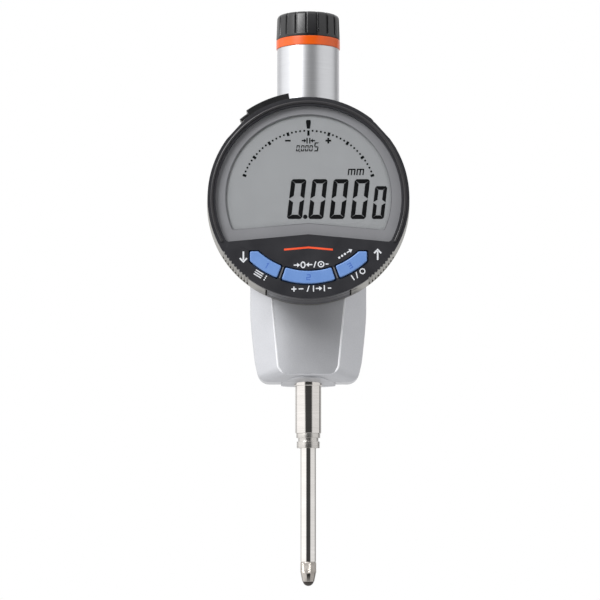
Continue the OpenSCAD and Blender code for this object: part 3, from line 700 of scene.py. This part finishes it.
def face_printing():
    """White signs round the buttons, and an orange line under the display."""
    print_rear, print_front = FACE - SUNK, FACE + 0.02
    signs = {
        "sign_down": [shifted(s, -19.2, -19.3) for s in arrow_sign()],
        "sign_up": [shifted(s, 20.4, -18.4) for s in flipped_up(arrow_sign(), 3.2)],
        "sign_zero": on_arc(zero_sign(), 2.0, 19.9),
        "sign_preset": on_arc(preset_sign(), 1.5, 27.0),
        "sign_menu": on_arc(menu_sign(), -31.5, 27.0),
        "sign_power": on_arc(power_sign(), 33.5, 27.0),
        "sign_send": on_arc(send_sign(), 33.0, 19.9),
    }
    for name, shapes in signs.items():
        print_shapes(name, shapes, print_rear, print_front, "holder_white", material="print_white")
    chevron = [stroke([(-7.2, -15.45), (0, -14.8), (7.2, -15.45)], 0.55)]
    print_shapes("accent_line", chevron, print_rear, print_front, "accent_orange", material="print_orange")


# ---- Buttons ----

# The figures 1, 2 and 3, each about its own middle
FIGURES = {
    "button_left": [stroke([(-0.35, 0.45), (0, 0.85), (0, -0.85)], 0.24)],
    "button_centre": [stroke([(-0.5, 0.73), (0.5, 0.73), (0.5, 0), (-0.5, 0), (-0.5, -0.73), (0.5, -0.73)],
                             0.24)],
    "button_right": [stroke([(-0.5, 0.73), (0.5, 0.73), (0.5, -0.73), (-0.5, -0.73)], 0.24),
                     bar(-0.35, -0.12, 0.38, 0.12)],
}


def front_depth(node, under):
    """How far a CAD node's foremost point under a height is in front of the spindle's axis."""
    return -min(v.co.y for v in NODES[node].data.vertices if v.co.z / MM - DIAL_Z < under) / MM


def front_outlines(node, under=math.inf):
    """Outlines of a CAD node's foremost flat face under a height, the widest first, on the dial."""
    build = bmesh.new()
    build.from_mesh(NODES[node].data)
    bmesh.ops.remove_doubles(build, verts=build.verts, dist=0.001 * MM)
    front = -front_depth(node, under) * MM
    flat = {face for face in build.faces if all(abs(v.co.y - front) < 0.01 * MM for v in face.verts)}
    beside = {}
    for edge in build.edges:
        if sum(face in flat for face in edge.link_faces) == 1:
            for here, there in (edge.verts, reversed(edge.verts)):
                beside.setdefault(here, []).append(there)
    outlines = []
    while beside:
        here = next(iter(beside))
        line = []
        while here is not None:
            line.append((here.co.x / MM, here.co.z / MM - DIAL_Z))
            there = beside.pop(here)
            here = next((v for v in there if v in beside), None)
        outlines.append(line if area(line) > 0 else line[::-1])
    build.free()
    return sorted(outlines, key=area, reverse=True)


def area(line):
    """The area inside a closed outline, above 0 when it runs anticlockwise."""
    return sum(x0 * y1 - x1 * y0 for (x0, y0), (x1, y1) in zip(line, line[1:] + line[:1])) / 2


def even_outline(line, spacing):
    """The same closed outline with its points evenly spaced."""
    ends = list(zip(line, line[1:] + line[:1]))
    lengths = [math.dist(a, b) for a, b in ends]
    count = round(sum(lengths) / spacing)
    step, points, done, i = sum(lengths) / count, [], 0.0, 0
    for k in range(count):
        while i < len(ends) - 1 and done + lengths[i] < k * step:
            done += lengths[i]
            i += 1
        share = (k * step - done) / lengths[i]
        (x0, y0), (x1, y1) = ends[i]
        points.append((x0 + (x1 - x0) * share, y0 + (y1 - y0) * share))
    return points


def drawn_in(line, inset):
    """A closed anticlockwise outline moved inwards."""
    moved = []
    for i, (x, y) in enumerate(line):
        before, after = line[i - 1], line[(i + 1) % len(line)]
        along = Vector((after[0] - before[0], after[1] - before[1])).normalized()
        moved.append((x - along.y * inset, y + along.x * inset))
    return moved


def pillow(name, line, rows, slot, body):
    """A solid whose outline is drawn in by `inset` at each depth of rows, closed at both ends."""
    build = bmesh.new()
    loops = [[build.verts.new(dial_point(x, y, depth)) for x, y in drawn_in(line, inset)]
             for inset, depth in rows]
    for rear, front in zip(loops, loops[1:]):
        for i in range(len(line)):
            k = (i + 1) % len(line)
            build.faces.new((rear[i], rear[k], front[k], front[i]))
    build.faces.new(loops[0][::-1])
    build.faces.new(loops[-1])
    made = piece(name, mesh_from(build, name), slot, body, corner=40)
    made.modifiers.new("normals", "WEIGHTED_NORMAL").weight = 100
    return made


def panel_edge():
    """A rounded bead down both sides of the body's front panel, to its lower corners; its near-white colour is a
    painted highlight along the panel's edge.
    """
    wide, proud, sunk, fade_length = 0.3, 0.16, 0.03, 2
    steps, spacing, under_head = 8, 0.3, -38
    face = front_depth("main_housing", under_head)
    line = even_outline(front_outlines("main_housing", under_head)[0], spacing)
    bottom = min(y for x, y in line) + 0.1
    rises = [math.pi * j / steps for j in range(steps + 1)]
    build = bmesh.new()
    fade = [min(1, max(0, y - bottom) / fade_length) for x, y in line]
    rows = [[build.verts.new(dial_point(x, y, face - sunk + proud * share * math.sin(rise)))
             for (x, y), share in zip(drawn_in(line, wide * math.cos(rise)), fade)] for rise in rises]
    for i in range(len(line)):
        k = (i + 1) % len(line)
        if max(line[i][1], line[k][1]) < bottom:
            continue
        for j in range(steps):
            build.faces.new((rows[j][i], rows[j][k], rows[j + 1][k], rows[j + 1][i]))
    loose = [v for v in build.verts if not v.link_faces]
    bmesh.ops.delete(build, geom=loose, context="VERTS")
    mesh = mesh_from(build, "panel_edge")
    # The bead carries a painted highlight; it flattens out towards the bottom edge and stops there.
    piece("panel_edge", mesh, "cast_silver", "body", material="edge_painted_highlight", corner=60)


def button_caps():
    """Each button with a rounded edge and the flange that keeps it in the face."""
    flange, edge, flange_front = 0.55, 0.36, BUTTON_REAR + 0.6
    rows = [(-flange, BUTTON_REAR), (-flange, flange_front), (0, flange_front)]
    for degrees in range(0, 91, 15):
        turn = math.radians(degrees)
        rows.append((edge * (1 - math.cos(turn)), BUTTON_FACE - edge * (1 - math.sin(turn))))
    for button in FIGURES:
        line = even_outline(front_outlines(button)[0], 0.15)
        made = pillow(button + "_cap", line, rows, "button_blue", button)
        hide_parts(button)


def button_ribs():
    """Fine ribs between the buttons, standing a little proud of the face; their grey, lighter than the face, is a
    painted highlight along the ridges.
    """
    for side in (-1, 1):
        name = "rib_left" if side < 0 else "rib_right"
        shape = [turned(bar(-0.17, -25.4, 0.17, -21.95), side * 19.7)]
        # Painted highlight: the grey stands in for light along the ridges.
        print_shapes(name, shape, FACE - SUNK, FACE + 0.2, "frame_grey", material="painted_shadow_and_glint_grey")


def number_buttons():
    """A figure on each button, a little darker than the button."""
    middle = 23.7
    for (button, shapes), degrees in zip(FIGURES.items(), (-31, 0, 31)):
        print_shapes(button + "_figure", on_arc(shapes, degrees, middle), BUTTON_FACE - SUNK,
                     BUTTON_FACE + 0.015, "button_blue", body=button, material="print_blue")


# ---- Cap ----

def fluted_cap():
    """The cap: grooved round its side, with a rounded rim, a dished top and a hollow below."""
    grooves, samples = 18, 20
    phase, groove = math.radians(270 - 2.7), 0.27
    bottom, top, wide = high("accent_ring").z, high("cap").z, high("cap").x
    pitch = 2 * math.pi / grooves

    def radius(turn, r, z, depth):
        across = ((turn - phase + pitch / 2) % pitch - pitch / 2) / (pitch / 2)
        land = abs(across)
        flat = math.cos(pitch / 2) / math.cos((1 - land) * pitch / 2)
        notch = depth * max(0.0, 1 - (land / groove) ** 2) ** 0.5
        return r * (0.5 + 0.5 * flat) - notch

    taper, hollow_r, spigot_r = 0.25, 6.2, 8.0
    hollow_top, spigot_end = top - 1.5, low("cap").z
    rows = [(0, hollow_top, 0), (hollow_r, hollow_top, 0), (hollow_r, spigot_end, 0),
            (spigot_r, spigot_end, 0), (spigot_r, bottom, 0),
            (wide - 0.35, bottom, 0), (wide - 0.1, bottom + 0.08, 0), (wide, bottom + 0.3, 0),
            (wide - 0.02, bottom + 0.85, 0), (wide - 0.03, bottom + 0.95, 0.35),
            (wide - 0.04, bottom + 1.15, 0.65), (wide - taper, top - 1.1, 0.65),
            (wide - 0.36, top - 0.65, 0.6), (wide - 0.62, top - 0.25, 0.45),
            (wide - 1.0, top - 0.05, 0.35), (wide - 1.4, top, 0.12),
            (wide - 1.75, top, 0), (wide - 2.0, top - 0.12, 0), (wide - 2.2, top - 0.3, 0),
            (0, top - 0.3, 0)]
    cap = revolve("fluted_cap", rows, grooves * samples, "cap_black", "cap", radius)
    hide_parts("cap")


# ---- Contact point ----

def knurled_shank():
    """The contact's holder: a thread, a diamond-knurled grip and a cone with a seat for the ball."""
    teeth, samples = 22, 8
    top = low("spindle").z
    wide = high("contact_shank").x
    thread_top = high("contact_shank").z
    grip_low, grip_high = top - 3.3, top - 0.35
    centre = TIP_Z + BALL_R
    pitch = 2 * math.pi * wide / teeth

    def triangle(value):
        return 1 - 2 * abs(value % 1.0 - 0.5)

    def radius(turn, r, z, depth):
        if not depth:
            return r
        first = turn * teeth / (2 * math.pi) + z / pitch
        second = turn * teeth / (2 * math.pi) - z / pitch
        return r - depth * (1 - min(triangle(first), triangle(second)) ** 0.8)

    seat_r = BALL_R + 0.02
    seat = [(0, centre + seat_r, 0)]
    for degrees in range(20, 101, 16):
        turn = math.radians(degrees)
        seat.append((seat_r * math.sin(turn), centre + seat_r * math.cos(turn), 0))
    cone = [(wide * 0.73, TIP_Z + 1.35, 0), (wide * 0.755, TIP_Z + 1.5, 0), (wide * 0.93, grip_low - 0.5, 0),
            (wide * 0.95, grip_low - 0.12, 0), (wide * 0.975, grip_low, 0)]
    rings = 26
    grip = [(wide, grip_low + (grip_high - grip_low) * i / rings, 0.2) for i in range(rings + 1)]
    crest, root, turns = 1.25, 1.05, 10
    end = [(wide * 0.96, grip_high + 0.1, 0), (wide * 0.93, top - 0.12, 0), (wide * 0.9, top, 0),
           (crest, top, 0)]
    thread = []
    for i in range(turns):
        z = top + 0.1 + (thread_top - top - 0.4) * i / turns
        thread += [(root, z, 0), (crest, z + 0.22, 0)]
    thread += [(1.0, thread_top, 0), (0, thread_top, 0)]
    shank = revolve("knurled_shank", seat + cone + grip + end + thread, teeth * samples, "contact_steel",
                    "spindle_assembly", radius)
    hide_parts("contact_shank")


# ---- Studio ----

def build_floor():
    """A round pale floor below the contact's tip."""
    below, across = 150, 0.36
    bpy.ops.mesh.primitive_circle_add(radius=across / 2, vertices=96, fill_type="NGON",
                                      location=(0, 0, (TIP_Z - below) * MM))
    floor = bpy.context.active_object
    floor.name = "studio_floor"
    material, tree, shader = node_tree("studio_floor")
    tree.links.new(shades(tree, noise(tree, 40.0), tone(205, 205, 205), tone(211, 211, 211)),
                   shader.inputs["Base Color"])
    shader.inputs["Roughness"].default_value = 0.8
    floor.data.materials.append(material)


# Brightness of the studio's walls, by degrees to the right of straight in front
WALLS = {-180: 0.95, -146: 0.95, -136: 0.7, -122: 0.7, -113: 1.35, -33: 1.35, -23: 0.06, 29: 0.06,
         38: 0.95, 108: 0.95, 118: 0.2, 133: 0.2, 142: 0.95, 180: 0.95}


def wall_light(tree, direction):
    """The colour of WALLS, by where a direction points round Z."""
    behind = maths(tree, "MULTIPLY", direction.outputs["Y"], -1)
    turn = maths(tree, "ARCTAN2", direction.outputs["X"], behind)
    walls = tree.nodes.new("ShaderNodeValToRGB")
    tree.links.new(maths(tree, "MULTIPLY_ADD", turn, 0.5 / math.pi, 0.5), walls.inputs["Fac"])
    ramp = walls.color_ramp
    while len(ramp.elements) < len(WALLS):
        ramp.elements.new(0.5)
    for element, (degrees, level) in zip(ramp.elements, WALLS.items()):
        element.position = degrees / 360 + 0.5
        element.color = (level, level, level, 1)
    return walls.outputs["Color"]


def whitened(tree, factor, colour, level):
    """A colour that becomes white of some brightness as factor goes from 0 to 1."""
    mix = tree.nodes.new("ShaderNodeMix")
    mix.data_type = "RGBA"
    mix.inputs["B"].default_value = (level, level, level, 1)
    tree.links.new(factor, mix.inputs["Factor"])
    tree.links.new(colour, mix.inputs["A"])
    return mix.outputs["Result"]


def light_studio():
    """Soft walls with a dark gap in front, a bright roof and a pale ground; the camera sees white."""
    world = bpy.data.worlds.new("studio")
    bpy.context.scene.world = world
    world.use_nodes = True
    tree = world.node_tree
    place = tree.nodes.new("ShaderNodeTexCoord")
    direction = tree.nodes.new("ShaderNodeSeparateXYZ")
    path = tree.nodes.new("ShaderNodeLightPath")
    tree.links.new(place.outputs["Generated"], direction.inputs["Vector"])
    rise = direction.outputs["Z"]
    ground = whitened(tree, remapped(tree, rise, (-0.4, -0.65)), wall_light(tree, direction), 0.75)
    roof = whitened(tree, remapped(tree, rise, (0.34, 0.5)), ground, 1.25)
    seen = whitened(tree, path.outputs["Is Camera Ray"], roof, 1)
    tree.links.new(seen, tree.nodes["Background"].inputs["Color"])
    bpy.context.scene.view_settings.view_transform = "Standard"


def key_light():
    """A large soft lamp from the upper left."""
    lamp = bpy.data.lights.new("key", "AREA")
    lamp.energy = 9.0
    lamp.size = 0.5
    holder = bpy.data.objects.new("key", lamp)
    bpy.context.scene.collection.objects.link(holder)
    holder.location = (-0.55, -0.65, 0.62)
    aim = Vector((0, 0, DIAL_Z * MM)) - holder.location
    holder.rotation_euler = aim.to_track_quat("-Z", "Y").to_euler()


def place_camera():
    """A long lens in front of the part and lower than the dial, looking up by the angle `tilt`."""
    distance, tilt, aim_height, sideways = 0.8, math.radians(5.19), 0.03335, -0.0025
    data = bpy.data.cameras.new("camera")
    data.lens = 158.5
    data.clip_start = 0.05
    camera = bpy.data.objects.new("camera", data)
    bpy.context.scene.collection.objects.link(camera)
    camera.location = (sideways, -distance, aim_height - distance * math.tan(tilt))
    camera.rotation_euler = (math.pi / 2 + tilt, 0, 0)
    bpy.context.scene.camera = camera


dress_cad_nodes()
soften_cad_nodes()
display_ink()
lens_border()
lip_bead()
face_printing()
panel_edge()
button_caps()
button_ribs()
number_buttons()
fluted_cap()
knurled_shank()
build_floor()
light_studio()
key_light()
place_camera()
